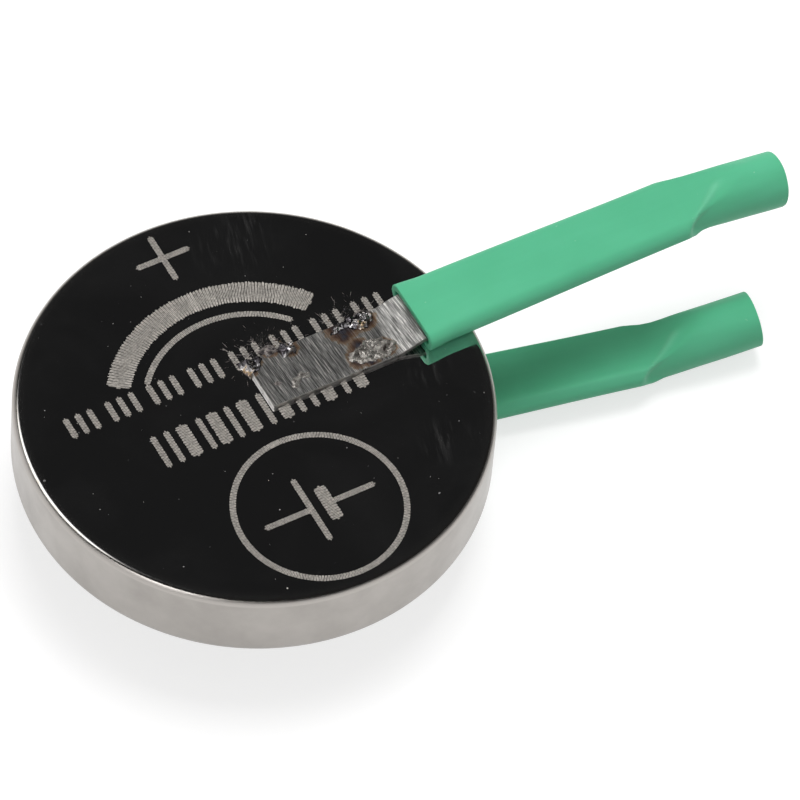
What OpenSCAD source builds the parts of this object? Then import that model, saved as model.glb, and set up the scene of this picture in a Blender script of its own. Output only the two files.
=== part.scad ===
// Lithium coin cell with two welded strip tags, each in a green insulating sleeve.
// The positive face is up, the origin is the middle of the negative face, and the positive tag runs along +X.

/* [Cell] */
// Outside diameter of the cell
cell_d = 23; // [21:0.1:30]
// Height from the negative face to the positive face
cell_h = 5.4; // [4.9:0.1:7.5]
// Clearance between curved faces that fit each other
fit = 0.02; // [0.01:0.005:0.03]

/* [Positive can] */
// Sheet thickness of the can
can_t = 0.25; // [0.2:0.01:0.3]
// Outside radius of the corner round the positive face
can_corner_r = 0.35; // [0.33:0.01:0.6]
// Outside radius of the crimped lower edge
crimp_r = 0.9; // [0.8:0.05:1]
// Angle through which the lower edge is curled
crimp_angle = 70; // [55:1:80]
// How far the crimped edge stands back from the ledge of the cap
crimp_back = 0.08; // [0.04:0.01:0.12]

/* [Negative cap] */
// Sheet thickness of the cap
cap_t = 0.25; // [0.2:0.01:0.28]
// Diameter of the flat negative face
face_d = 15.8; // [14:0.1:16.6]
// Height of the step between the negative face and the ledge
step_h = 0.95; // [0.85:0.05:1.1]
// Bend radius of the step, at the middle of the sheet
step_r = 0.45; // [0.35:0.01:0.5]
// Steepness of the step
step_angle = 80; // [70:1:85]
// Bend radius between the ledge and the skirt, at the middle of the sheet
ledge_r = 0.5; // [0.4:0.02:0.54]
// Gap left inside the hem of the rim
hem_gap = 0.03; // [0.02:0.01:0.06]

/* [Gasket] */
// Wall of the gasket between the can and the rim of the cap
gasket_t = 0.4; // [0.34:0.01:0.46]
// Thickness of the gasket under the rim of the cap
gasket_base_t = 0.6; // [0.4:0.05:0.8]
// Thickness of the lip inside the skirt of the cap
gasket_lip_t = 0.35; // [0.25:0.05:0.5]
// Height of the lip inside the skirt of the cap
gasket_lip_h = 0.5; // [0.3:0.05:0.8]

/* [Cell contents] */
// Thickness of the lithium disc
anode_t = 1.5; // [1.2:0.05:1.8]
// Gap round the lithium disc inside the flat of the cap
anode_gap = 0.1; // [0.05:0.05:0.5]
// Thickness of the separator
separator_t = 0.15; // [0.08:0.01:0.25]
// Height of the turned-up edge of the separator
separator_h = 1; // [0.6:0.05:1.3]
// Sheet thickness of the collector ring round the cathode pellet
collector_t = 0.12; // [0.08:0.01:0.2]
// Height of the collector ring
collector_h = 1; // [0.6:0.05:1.2]
// Width of the flange of the collector ring
collector_w = 2; // [1:0.1:4]

/* [Tags] */
// Width of the strip
tag_w = 2.9; // [2.4:0.05:2.95]
// Thickness of the strip
tag_t = 0.25; // [0.15:0.01:0.3]
// Length of the strip
tag_l = 22.6; // [20:0.1:24]
// Length over which the strip rises from the face of the cell
joggle_l = 2.7; // [1.5:0.1:3]
// Flat stretch between that rise and the mouth of the sleeve
joggle_back = 0.5; // [0.3:0.05:1]
// Where the positive strip starts, from the cell's axis
positive_start = 0.6; // [-1:0.1:1.2]
// Sideways offset of the positive strip
positive_offset = 0.7; // [-1:0.01:1]
// Where the negative strip starts, from the cell's axis
negative_start = -2.6; // [-3.5:0.1:-2]
// Sideways offset of the negative strip
negative_offset = 2.02; // [0:0.01:2.5]
// Angle of the negative strip to the positive one, seen from above
negative_angle = -11.7; // [-15:0.1:0]

/* [Sleeves] */
// Outside diameter of the sleeve where it is round
sleeve_d = 2.8; // [2.8:0.01:3.2]
// Wall of the sleeve
sleeve_wall = 0.35; // [0.25:0.01:0.36]
// Length of the sleeve
sleeve_l = 20; // [18:0.1:22]
// Where the positive sleeve starts, from the cell's axis
positive_mouth = 8.8; // [7:0.1:9.5]
// Where the negative sleeve starts, from the cell's axis
negative_mouth = 6.2; // [5:0.1:7]
// Gap between the strip and the wall of the sleeve, above and below
sleeve_gap = 0.05; // [0.03:0.01:0.08]
// Gap between the sleeve and the face of the cell
sleeve_lift = 0.055; // [0.04:0.005:0.3]
// Twist of the sleeve and strip between the mouth and the end of the strip
sleeve_twist = 10; // [0:1:12]
// Length over which the sleeve opens from flat to round past the strip
opening_l = 2; // [1.5:0.1:2.8]
// How much wider the cut mouth of the sleeve stands
flare_w = 0.2; // [0:0.01:0.3]
// How much thicker the cut mouth of the sleeve stands
flare_t = 0.04; // [0:0.01:0.06]
// Angle by which the round end turns sideways
end_yaw = 3.5; // [0:0.5:6]
// Angle by which the round end turns back towards the cell
end_pitch = 5.5; // [0:0.5:6]

/* [Welds] */
// Radius of the largest weld bead
bead_r = 0.42; // [0.2:0.01:0.55]

/* [Hidden] */
$fn = 96;
far = cell_d;
cell_r = cell_d / 2;

// Inside of the can
can_in_r = cell_r - can_t;
can_in_z = cell_h - can_t;
can_in_corner = can_corner_r - can_t;
crimp_z = step_h + crimp_back + crimp_r;
crimp_c = [cell_r - crimp_r, crimp_z];
crimp_in = crimp_r - can_t;

// The rim of the cap stands in the gasket, which stands in the can
gasket_r = can_in_r - fit;
rim_r = gasket_r - gasket_t - fit;
skirt_r = rim_r - hem_gap - 1.5 * cap_t;
skirt_in = skirt_r - cap_t / 2;
rim_top = can_in_z - gasket_base_t;
hem_r = (cap_t + hem_gap) / 2;
hem_z = rim_top - hem_r - cap_t / 2;
ledge_z = step_h + cap_t / 2;
ledge_c = [skirt_r - ledge_r, ledge_z + ledge_r];
gasket_in = skirt_in - fit - gasket_lip_t;
lip_overhang = 0.08;

// Straight runs of the cap between its bends
step_run = (step_h - 2 * step_r * (1 - cos(step_angle))) / sin(step_angle);
ledge_run = ledge_c.x - face_d / 2 - 2 * step_r * sin(step_angle) - step_run * cos(step_angle);

// Stack inside the cell
anode_r = face_d / 2 - anode_gap;
anode_top = cap_t + anode_t;
pellet_z = anode_top + separator_t;
collector_r = gasket_in - fit;
pellet_r = collector_r - collector_t - fit;
separator_r = pellet_r + fit + separator_t;

// A sleeve pressed flat keeps the length round its section
flat_t = tag_t + 2 * (sleeve_wall + sleeve_gap);
lift = flat_t / 2 + sleeve_lift;
section_sides = 32;
bead_sides = 18;
flare_l = 1.4;
opening_lead = 0.2;
bore_r = sleeve_d / 2 - sleeve_wall;
bore_overlap = 0.4;
void_shrink = 0.015;
end_slope = [-tan(end_yaw), -tan(end_pitch)];

// Weld beads as [along the strip from its start, across it, radius as a share of bead_r, share above the strip]
positive_beads = [[0.35, 1.3, 0.75, 0.45], [1.75, 1.35, 0.9, 0.5], [2.6, 1.45, 0.7, 0.6],
                  [5.0, 1.35, 0.65, 0.5], [5.75, 1.3, 0.8, 0.6], [4.6, -0.35, 0.6, 0.25],
                  [5.3, -0.55, 1, 0.3], [5.9, -0.25, 0.7, 0.3], [2.0, -0.5, 0.5, 0.2]];
negative_beads = [[1.2, -0.9, 0.8, 0.35], [1.4, 0.8, 0.9, 0.3], [3.6, -0.8, 0.9, 0.35], [3.9, 0.9, 0.75, 0.3]];

function ease(x) = let (c = min(max(x, 0), 1)) c * c * (3 - 2 * c);

// Flat section widths: the tube's girth is the same at every thickness
function girth_width(t, d) = (PI * d - PI * t) / 2 + t;

// A rounded flat section, as points across and above the middle of the sleeve
function section(w, t) = [for (k = [0 : section_sides - 1])
    let (a = 360 * (k + 0.5) / section_sides)
    [(cos(a) > 0 ? 1 : -1) * (w - t) / 2 + t / 2 * cos(a), t / 2 * sin(a)]];

// Height of the strip's middle above the face, at x along the strip
function strip_z(x, mouth) = let (top = mouth - joggle_back)
    tag_t / 2 + (lift - tag_t / 2) * ease((x - top + joggle_l) / joggle_l);

// Twist of the strip and the sleeve at x along the strip
function twist_at(x, mouth, end) = -sleeve_twist * ease((x - mouth) / (end - mouth));

// Share of the end's turn reached at x past the strip, and the way gone by then for each unit of slope
function turned(x, end) = min(max((x - end) / opening_l, 0), 1);
function drifted(x, end) = let (u = max(x - end, 0))
    u < opening_l ? u * u / (2 * opening_l) : u - opening_l / 2;

// Middle and direction of the sleeve at x, in the frame of its tag
function middle(x, mouth, end) = let (g = drifted(x, end))
    [x, end_slope.x * g, strip_z(x, mouth) + end_slope.y * g];
function heading(x, end) = let (f = turned(x, end), d = [1, end_slope.x * f, end_slope.y * f]) d / norm(d);

// Section points carried to x, square to the sleeve there and twisted with it
function placed(points, x, mouth, end) = let (
        c = middle(x, mouth, end), d = heading(x, end),
        n = [-d.y, d.x, 0] / norm([d.x, d.y]), v = cross(d, n), q = twist_at(x, mouth, end),
        across = n * cos(q) + v * sin(q), above = v * cos(q) - n * sin(q))
    [for (p = points) c + across * p.x + above * p.y];

// Thickness of the sleeve at x: flat over the strip, round past its end
function sleeve_t(x, end) = flat_t + (sleeve_d - flat_t) * ease((x - end + opening_lead) / opening_l);
function flare(x, mouth) = 1 - ease((x - mouth) / flare_l);

// Stations along the sleeve: close together where it opens, wide apart elsewhere
function sleeve_stations(mouth, end) = concat(
    [for (k = [0 : 4]) mouth + k * flare_l / 4],
    [for (k = [1 : 7]) mouth + flare_l + k * (end - opening_lead - mouth - flare_l) / 7],
    [for (k = [1 : 10]) end - opening_lead + k * opening_l / 10],
    [end + opening_l, mouth + sleeve_l]);

// A closed solid through rings that have the same number of points
module loft(rings) {
    n = len(rings[0]);
    m = len(rings);
    sides = [for (i = [0 : m - 2], k = [0 : n - 1])
        let (a = i * n + k, b = i * n + (k + 1) % n, c = b + n, d = a + n) each [[a, d, c], [a, c, b]]];
    first = [for (k = [0 : n - 1]) k];
    last = [for (k = [n - 1 : -1 : 0]) (m - 1) * n + k];
    polyhedron(points = [for (r = rings) each r], faces = concat(sides, [first, last]), convexity = 6);
}

// One bend of sheet: a sector of a ring that starts at the origin heading along +X and turns by angle
module bend(radius, angle, t) {
    side = angle > 0 ? 1 : -1;
    reach = 2 * (radius + t);
    turn = abs(angle);
    translate([0, side * radius]) intersection() {
        difference() {
            circle(r = radius + t / 2);
            circle(r = radius - t / 2);
        }
        mirror([0, side > 0 ? 0 : 1]) union() {
            polygon([[0, 0], [0, -reach], [reach * sin(min(turn, 90)), -reach],
                     [reach * sin(min(turn, 90)), -reach * cos(min(turn, 90))]]);
            if (turn > 90)
                polygon([[0, 0], [reach, 0], [reach, reach], [reach * sin(turn), -reach * cos(turn)]]);
        }
    }
}

// Sheet of one thickness along runs and bends; a move is [length] or [radius, angle]
module sheet_path(moves, t, i = 0) {
    if (i < len(moves)) {
        move = moves[i];
        if (len(move) == 1) {
            translate([0, -t / 2]) square([move[0], t]);
            translate([move[0], 0]) sheet_path(moves, t, i + 1);
        } else {
            side = move[1] > 0 ? 1 : -1;
            bend(move[0], move[1], t);
            translate([move[0] * sin(abs(move[1])), side * move[0] * (1 - cos(move[1]))])
                rotate(move[1]) sheet_path(moves, t, i + 1);
        }
    }
}

// Half section of the space inside the can, drawn back by gap
module can_inside(gap) {
    translate([0, crimp_z]) square([can_in_r - gap, cell_h - can_corner_r - crimp_z]);
    translate([0, crimp_z]) square([cell_r - can_corner_r, can_in_z - crimp_z]);
    translate([cell_r - can_corner_r, cell_h - can_corner_r]) circle(r = can_in_corner - gap);
    intersection() {
        translate(crimp_c) circle(r = crimp_in - gap);
        translate([0, crimp_z - crimp_in]) square([cell_r, crimp_in]);
    }
}

// Half section of the rim, skirt and ledge bend of the cap, grown by gap
module cap_rim_space(gap) {
    translate([skirt_in - gap, crimp_z]) square([rim_r - skirt_in + 2 * gap, rim_top - crimp_z]);
    translate([skirt_in - gap, ledge_c.y]) square([cap_t + 2 * gap, crimp_z - ledge_c.y + fit]);
    translate(ledge_c) circle(r = ledge_r + cap_t / 2 + gap);
}

module can() {
    corner = can_corner_r - can_t / 2;
    wall = cell_h - can_corner_r - crimp_z;
    color("silver") rotate_extrude()
        translate([0, cell_h - can_t / 2])
            sheet_path([[cell_r - can_corner_r], [corner, -90], [wall], [crimp_r - can_t / 2, -crimp_angle]],
                       can_t);
}

module cap() {
    color("gainsboro") rotate_extrude()
        translate([0, cap_t / 2])
            sheet_path([[face_d / 2], [step_r, step_angle], [step_run], [step_r, -step_angle], [ledge_run],
                        [ledge_r, 90], [hem_z - ledge_c.y], [hem_r, -180], [hem_z - crimp_z - fit]], cap_t);
}

module gasket() {
    color("dimgray") rotate_extrude() difference() {
        intersection() {
            can_inside(fit);
            union() {
                translate([gasket_r - gasket_t, crimp_z]) square([gasket_t, can_in_z - crimp_z]);
                translate([gasket_in, rim_top]) square([gasket_r - gasket_in, gasket_base_t]);
                translate([gasket_in, rim_top - gasket_lip_h]) square([gasket_lip_t, gasket_lip_h]);
                translate([crimp_c.x - lip_overhang, crimp_z - crimp_r]) square([crimp_r, crimp_r]);
            }
        }
        cap_rim_space(fit);
    }
}

// Pressed disc with a shoulder that the flange of the collector ring lies in
module cathode_pellet() {
    color([0.13, 0.13, 0.14]) difference() {
        translate([0, 0, pellet_z]) cylinder(r = pellet_r, h = can_in_z - pellet_z);
        translate([0, 0, can_in_z - collector_t]) difference() {
            cylinder(r = cell_r, h = can_t);
            translate([0, 0, -can_t]) cylinder(r = collector_r - collector_w - fit, h = 3 * can_t);
        }
    }
}

module collector_ring() {
    color("lightgray") translate([0, 0, can_in_z]) difference() {
        translate([0, 0, -collector_h]) cylinder(r = collector_r, h = collector_h);
        translate([0, 0, -2 * collector_h - collector_t])
            cylinder(r = collector_r - collector_t, h = 2 * collector_h);
        translate([0, 0, -2 * collector_h]) cylinder(r = collector_r - collector_w, h = 3 * collector_h);
    }
}

module separator() {
    color("white") difference() {
        translate([0, 0, anode_top]) cylinder(r = separator_r, h = separator_h);
        translate([0, 0, pellet_z]) cylinder(r = pellet_r + fit, h = separator_h);
    }
}

module lithium_anode() {
    color([0.75, 0.76, 0.78]) translate([0, 0, cap_t]) cylinder(r = anode_r, h = anode_t);
}

// Strip and weld beads in the frame of the tag: x along the strip, z away from the face of the cell
module tag(start, mouth, beads) {
    end = start + tag_l;
    rise = mouth - joggle_back - joggle_l;
    stations = concat([start], [for (k = [0 : 6]) rise + k * joggle_l / 6],
                      [for (k = [0 : 10]) mouth + k * (end - mouth) / 10]);
    corners = [[tag_w, tag_t], [-tag_w, tag_t], [-tag_w, -tag_t], [tag_w, -tag_t]] / 2;
    loft([for (x = stations) placed(corners, x, mouth, end)]);
    for (b = beads)
        intersection() {
            translate([start + b[0], b[1], tag_t + (2 * b[3] - 1) * b[2] * bead_r])
                sphere(r = b[2] * bead_r, $fn = bead_sides);
            translate([start - 1, -far / 2, 0]) cube(far);
        }
}

// Thin tube in the same frame: flat over the strip, and round again past its end
module sleeve(start, mouth) {
    end = start + tag_l;
    stations = sleeve_stations(mouth, end);
    last = mouth + sleeve_l;
    bore_x = end + opening_l + bore_overlap / 2;
    outer = [for (x = stations)
        let (t = sleeve_t(x, end) + flare_t * flare(x, mouth),
             w = girth_width(sleeve_t(x, end), sleeve_d) + flare_w * flare(x, mouth))
        placed(section(w, t), x, mouth, end)];
    inner_x = [for (i = [0 : len(stations) - 2])
        i == 0 ? mouth - sleeve_wall : stations[i] + (i == len(stations) - 2 ? bore_overlap : 0)];
    inner = [for (x = inner_x)
        let (s = max(x, mouth), t = sleeve_t(s, end) + flare_t * flare(s, mouth),
             w = girth_width(sleeve_t(s, end), sleeve_d) + flare_w * flare(s, mouth),
             slim = 2 * void_shrink * ease((x - end) / opening_l))
        placed(section(w - 2 * sleeve_wall - slim, t - 2 * sleeve_wall - slim), x, mouth, end)];
    d = heading(last, end);
    difference() {
        loft(outer);
        loft(inner);
        translate(middle(bore_x, mouth, end))
            rotate([0, acos(d.z), atan2(d.y, d.x)]) cylinder(r = bore_r, h = 2 * sleeve_l);
    }
}

// A tag's frame, on the positive face or, turned over, on the negative one
module on_positive() {
    translate([0, positive_offset, cell_h]) children();
}
module on_negative() {
    rotate(negative_angle) translate([0, negative_offset, 0]) rotate([180, 0, 0]) children();
}

module positive_tag() {
    color("silver") on_positive() tag(positive_start, positive_mouth, positive_beads);
}

module negative_tag() {
    color("silver") on_negative() tag(negative_start, negative_mouth, negative_beads);
}

module positive_sleeve() {
    color([0.22, 0.68, 0.5]) on_positive() sleeve(positive_start, positive_mouth);
}

module negative_sleeve() {
    color([0.22, 0.68, 0.5]) on_negative() sleeve(negative_start, negative_mouth);
}

can();
cap();
gasket();
cathode_pellet();
collector_ring();
separator();
lithium_anode();
positive_tag();
negative_tag();
positive_sleeve();
negative_sleeve();
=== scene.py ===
"""Lithium coin cell with two welded strip tags in green sleeves, dressed over its CAD frame.

Sizes are in millimetres until a mesh is made, and angles in degrees. The frame is the CAD one: the
origin is the middle of the negative face, +Z leaves the positive face and +X runs along the
positive tag.
"""

import math
from collections import namedtuple
from functools import reduce

import bmesh
import bpy
from mathutils import Matrix, Vector, noise


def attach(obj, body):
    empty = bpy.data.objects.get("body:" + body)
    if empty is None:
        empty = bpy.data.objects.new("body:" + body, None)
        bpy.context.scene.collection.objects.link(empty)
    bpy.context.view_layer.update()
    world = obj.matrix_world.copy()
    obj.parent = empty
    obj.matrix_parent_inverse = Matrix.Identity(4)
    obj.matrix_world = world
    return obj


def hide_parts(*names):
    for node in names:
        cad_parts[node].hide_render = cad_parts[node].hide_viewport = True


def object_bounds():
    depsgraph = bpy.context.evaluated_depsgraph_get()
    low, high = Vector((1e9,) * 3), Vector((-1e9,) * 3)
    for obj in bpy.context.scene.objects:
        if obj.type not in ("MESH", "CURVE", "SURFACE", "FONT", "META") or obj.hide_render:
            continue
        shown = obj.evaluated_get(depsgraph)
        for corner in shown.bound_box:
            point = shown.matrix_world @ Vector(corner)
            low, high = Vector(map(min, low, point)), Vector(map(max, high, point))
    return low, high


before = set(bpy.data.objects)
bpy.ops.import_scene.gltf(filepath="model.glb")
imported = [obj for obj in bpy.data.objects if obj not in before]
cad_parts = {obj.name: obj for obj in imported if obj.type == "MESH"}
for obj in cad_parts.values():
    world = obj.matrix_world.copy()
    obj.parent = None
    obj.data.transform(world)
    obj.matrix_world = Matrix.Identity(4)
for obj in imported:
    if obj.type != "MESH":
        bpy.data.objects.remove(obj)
cad_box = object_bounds()

MM = 0.001

# Cell; the can stays just inside the facets of its CAD solid, which is 11.5 in radius
CELL_R = 11.495
FACE_Z = 5.4
CAN_T = 0.25
CORNER_R = 0.35
CRIMP_R = 0.9
CRIMP_ANGLE = 70
STEP_H = 0.95
CRIMP_GAP = 0.08
CRIMP_Z = STEP_H + CRIMP_GAP + CRIMP_R

# Negative cap
CAP_T = 0.25
CAP_FACE_R = 7.9
STEP_R = 0.45
STEP_ANGLE = 80
LEDGE_R = 0.5
SKIRT_R = 10.405
CAP_RIM_Z = 4.285
CAP_FOLD_R = 0.14
CAP_FOLD_GAP = 0.02

# Strips and sleeves
STRIP_W = 2.9
STRIP_T = 0.25
STRIP_L = 22.6
STRIP_BEVEL = 0.025
BEND_L = 1.8
BEND_PAST = 0.2
SLEEVE_D = 2.8
SLEEVE_WALL = 0.35
SLEEVE_L = 20
SLEEVE_GAP = 0.05
SLEEVE_LIFT = 0.055
SLEEVE_TWIST = 10
FLAT_T = STRIP_T + 2 * (SLEEVE_WALL + SLEEVE_GAP)
LIFT = FLAT_T / 2 + SLEEVE_LIFT
OPENING_L = 2.0
OPENING_LEAD = 0.2
FLARE_L = 1.4
FLARE_W = 0.2
FLARE_T = 0.04
END_YAW = 3.5
END_PITCH = 5.5
LIP_R = 0.06

# The sleeve's top bulges by the crown; a ridge runs along each side of its flat underside
SLEEVE_CROWN = 0.12
SLEEVE_RIDGE = 0.07
RIDGE_EDGE = 0.84
RIDGE_SPREAD = 0.08

# How the sleeve opens past its strip: soon at its sides, late at its top, with a fold between
SIDE_OPENING_L = 0.65
TOP_OPENING_L = 3.7
TOP_DELAY = 0.3
FOLD_H = 0.14
FOLD_PART = 0.22
FOLD_LEAN = 0.4
FOLD_SPREAD = 0.12
END_SWAY = 0.02

# A tag: where its strip starts, where its sleeve starts, and its own frame in the frame of the part
Tag = namedtuple("Tag", "start mouth place")
POSITIVE = Tag(0.6, 8.8, Matrix.Translation((0, 0.7, FACE_Z)))
NEGATIVE = Tag(-2.6, 6.2, Matrix.Rotation(math.radians(-11.7), 4, "Z")
               @ Matrix.Translation((0, 2.02, 0)) @ Matrix.Rotation(math.pi, 4, "X"))


# Nodes

class Node:
    """A node: node[key] reads an output, and node[key] = value sets or links an input."""

    def __init__(self, tree, kind, inputs=None, **settings):
        self.tree = tree
        self.plain = tree.nodes.new(kind)
        for name, value in settings.items():
            setattr(self.plain, name, value)
        for key, value in (inputs or {}).items():
            self[key] = value

    def __getitem__(self, key):
        return Value(self.tree, self.plain.outputs[key])

    def __setitem__(self, key, value):
        socket = self.plain.inputs[key]
        if isinstance(value, Value):
            self.tree.links.new(value.socket, socket)
        elif socket.type == "RGBA":
            socket.default_value = (*value, 1)
        else:
            socket.default_value = value


class Value:
    """An output of a node; arithmetic with it adds Math nodes."""

    def __init__(self, tree, socket):
        self.tree = tree
        self.socket = socket

    def __add__(self, other):
        return calc("ADD", self, other)

    def __sub__(self, other):
        return calc("SUBTRACT", self, other)

    def __rsub__(self, other):
        return calc("SUBTRACT", other, self)

    def __mul__(self, other):
        return calc("MULTIPLY", self, other)

    def __truediv__(self, other):
        return calc("DIVIDE", self, other)

    def __pow__(self, other):
        return calc("POWER", self, other)


def calc(operation, *values, clamp=False):
    """The result of one Math node."""
    tree = next(value.tree for value in values if isinstance(value, Value))
    inputs = dict(enumerate(values))
    return Node(tree, "ShaderNodeMath", inputs, operation=operation, use_clamp=clamp)[0]


def most(first, second):
    """The larger of two values."""
    return calc("MAXIMUM", first, second)


def vector(operation, first, second=(0, 0, 0), out="Value"):
    """The result of one Vector Math node."""
    return Node(first.tree, "ShaderNodeVectorMath", {0: first, 1: second}, operation=operation)[out]


def ramp(value, *stops, smooth=False):
    """A colour ramp; a stop is (place, colour), and a colour may be one grey level."""
    node = Node(value.tree, "ShaderNodeValToRGB", {"Fac": value})
    band = node.plain.color_ramp
    band.interpolation = "EASE" if smooth else "LINEAR"
    while len(band.elements) < len(stops):
        band.elements.new(1.0)
    for element, (place, colour) in zip(band.elements, stops):
        element.position = place
        element.color = (*colour, 1) if isinstance(colour, tuple) else (colour, colour, colour, 1)
    return node["Color"]


def blend(share, first, second):
    """A mix of two colours."""
    return Node(share.tree, "ShaderNodeMix", {0: share, 6: first, 7: second}, data_type="RGBA")[2]


def mapped(where, kind="POINT", **inputs):
    """The coordinates moved, turned or scaled."""
    return Node(where.tree, "ShaderNodeMapping", {"Vector": where, **inputs}, vector_type=kind)[0]


def in_frame(where, place):
    """The coordinates in another frame."""
    return mapped(where, "TEXTURE", Location=place.translation * MM, Rotation=place.to_euler())


def grain(where, scale, detail=4, rough=0.55, stretch=(1, 1, 1), distort=0):
    """Noise, in cycles per millimetre, stretched along an axis if asked."""
    spread = mapped(where, Scale=[scale / MM * share for share in stretch])
    inputs = {"Vector": spread, "Scale": 1, "Detail": detail, "Roughness": rough, "Distortion": distort}
    return Node(where.tree, "ShaderNodeTexNoise", inputs)["Fac"]


def distance_to(where, x, y, z):
    """Distance to a point given in millimetres."""
    return vector("DISTANCE", where, (x * MM, y * MM, z * MM))


def axis_distance(where):
    """Distance from the axis of the cell."""
    return vector("LENGTH", vector("MULTIPLY", where, (1, 1, 0), "Vector"))


def nearness(where, spots, z):
    """1 in the middle of the nearest spot, and 0 from its reach outwards."""
    return reduce(most, (calc("SUBTRACT", 1, distance_to(where, x, y, z) / (reach * MM), clamp=True)
                         for x, y, reach in spots))


def emptied(owner):
    """The node tree of a material or world, with nothing in it yet."""
    owner.use_nodes = True
    owner.node_tree.nodes.clear()
    return owner.node_tree


class Surface(Node):
    """A material with one shader, and its object coordinates; its inputs are set as a node's."""

    def __init__(self, name, colour, roughness, metallic=0):
        self.material = bpy.data.materials.new(name)
        self.material.diffuse_color = (*colour, 1)
        tree = emptied(self.material)
        inputs = {"Base Color": colour, "Roughness": roughness, "Metallic": metallic}
        super().__init__(tree, "ShaderNodeBsdfPrincipled", inputs)
        Node(tree, "ShaderNodeOutputMaterial", {"Surface": self[0]}, is_active_output=True)
        self.where = Node(tree, "ShaderNodeTexCoord")["Object"]

    def bump(self, height, depth, strength):
        """Adds relief of that depth in millimetres."""
        inputs = {"Height": height, "Strength": strength, "Distance": depth * MM}
        self["Normal"] = Node(self.tree, "ShaderNodeBump", inputs)[0]


# Finishes

# Places on the face that soot from the welds dulls, and places that a wipe has left smeared, as (x, y, reach)
SOOT_SPOTS = [(0.7, 2.4, 1.6), (2.0, 2.6, 1.7), (5.8, 2.5, 1.8), (7.0, 2.5, 1.4)]
SMEAR_SPOTS = [(3.3, 8.6, 2.2), (4.6, 9.5, 1.3), (8.2, -1.6, 1.5), (7.2, -6.0, 1.6)]
WIPE_ANGLE = math.radians(-75)
BRUSH_ANGLE = math.radians(-4)

# Dust on the face, as (specks to a millimetre, largest radius as a share of their spacing)
DUST = [(0.55, 0.036), (1.1, 0.042), (2.6, 0.052)]

# Weld places on a strip, as (along from its start, across, reach of the heat)
POSITIVE_WELDS = [(0.2, 1.3, 0.6), (0.0, 0.85, 0.4), (1.3, 1.55, 0.55), (2.25, 1.2, 0.6),
                  (5.0, 1.15, 0.95), (6.1, 1.2, 0.85), (4.9, 0.66, 0.42), (5.3, -0.15, 0.55),
                  (4.9, -0.75, 0.65), (5.4, -1.15, 0.45), (6.4, -0.75, 0.6)]
NEGATIVE_WELDS = [(1.2, -0.9, 1.0), (1.4, 0.8, 1.0), (3.6, -0.8, 1.1), (3.9, 0.9, 1.0)]


def specks(flat, spread, largest):
    """Round specks of dust, each with its own size and brightness."""
    cell = Node(flat.tree, "ShaderNodeTexVoronoi", {"Vector": flat, "Scale": spread}, feature="F1")
    drawn = Node(flat.tree, "ShaderNodeSeparateColor", {"Color": cell["Color"]})
    radius = ramp(drawn[0], (0.2, 0), (1, 1)) * largest
    return calc("LESS_THAN", cell["Distance"], radius) * drawn[1] ** 1.2


def polished_face():
    """Mirror-polished steel, with smudges and soot that dull it a little and specks of dust."""
    bright_steel = (0.86, 0.86, 0.87)
    steel = Surface("polished steel face", bright_steel, 0.03, 1)
    where = steel.where
    smudge = ramp(grain(where, 0.16, 5, 0.6, distort=0.8), (0.45, 0), (0.75, 0.5))
    haze = ramp(grain(where, 0.9, 3), (0.4, 0), (0.8, 1))
    puff = ramp(grain(where, 1.6, 6, 0.75, distort=1.5), (0.42, 0), (0.62, 1))
    soot = nearness(where, SOOT_SPOTS, FACE_Z) * puff
    wiped = mapped(where, Rotation=(0, 0, WIPE_ANGLE))
    streak = ramp(grain(wiped, 1.1, 5, 0.7, (0.3, 2.2, 1)), (0.5, 0), (0.72, 1))
    smear = nearness(where, SMEAR_SPOTS, FACE_Z) * streak
    edge = ramp(axis_distance(where) / (CELL_R * MM), (0.925, 0), (0.97, 0.42), smooth=True)
    dull = reduce(most, (calc("ADD", smudge * haze, soot, clamp=True), edge, smear))
    flat = mapped(where, Scale=(1 / MM, 1 / MM, 0))
    speck = reduce(most, (specks(flat, *kind) for kind in DUST))
    tint = blend(dull, bright_steel, (0.5, 0.48, 0.45))
    steel["Base Color"] = blend(speck, tint, (0.62, 0.6, 0.55))
    steel["Roughness"] = dull * 0.3 + 0.03 + speck * 0.6
    steel["Metallic"] = 1 - most(speck, smear * 0.045 + smudge * 0.008)
    steel.bump(grain(where, 0.5, 2), 0.002, 0.3)
    return steel.material


def satin_wall():
    """Drawn steel: satin, with fine lines round the wall and faint marks from handling."""
    steel = Surface("satin steel wall", (0.43, 0.42, 0.4), 0.34, 1)
    patch = grain(steel.where, 0.35, 4, 0.6)
    handled = ramp(patch, (0.35, 0), (0.7, 1))
    steel["Base Color"] = blend(handled, (0.42, 0.396, 0.372), (0.355, 0.334, 0.313))
    steel["Roughness"] = patch * 0.16 + 0.26
    steel.bump(grain(steel.where, 0.25, 6, 0.7, (1, 1, 60)), 0.004, 0.35)
    return steel.material


def bright_corner():
    """Steel of the rounded edge: burnished beside the face, and satin and darker where it runs into the wall,
    the darkening partly painted shade.
    """
    steel = Surface("burnished steel edge", (0.6, 0.58, 0.54), 0.12, 1)
    where = steel.where
    wear = ramp(grain(where, 1.4, 5, 0.7), (0.35, 0), (0.7, 1))
    z = Node(where.tree, "ShaderNodeSeparateXYZ", {"Vector": where})["Z"]
    down = (FACE_Z * MM - z) / (CORNER_R * MM)
    waver = grain(where, 0.8, 4, 0.6) * 0.1 - 0.05
    # Down the edge the colour darkens to the wall's: partly the satin finish, partly painted shade in place
    # of a dimmer reflection
    satin = ramp(down + waver, (0.08, 0), (0.22, 1))
    burnished = blend(wear, (0.86, 0.84, 0.8), (0.62, 0.57, 0.5))
    steel["Base Color"] = blend(satin, burnished, (0.45, 0.424, 0.398))
    steel["Roughness"] = satin * 0.24 + (wear * 0.06 + 0.1)
    steel.bump(wear, 0.003, 0.3)
    return steel.material


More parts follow.
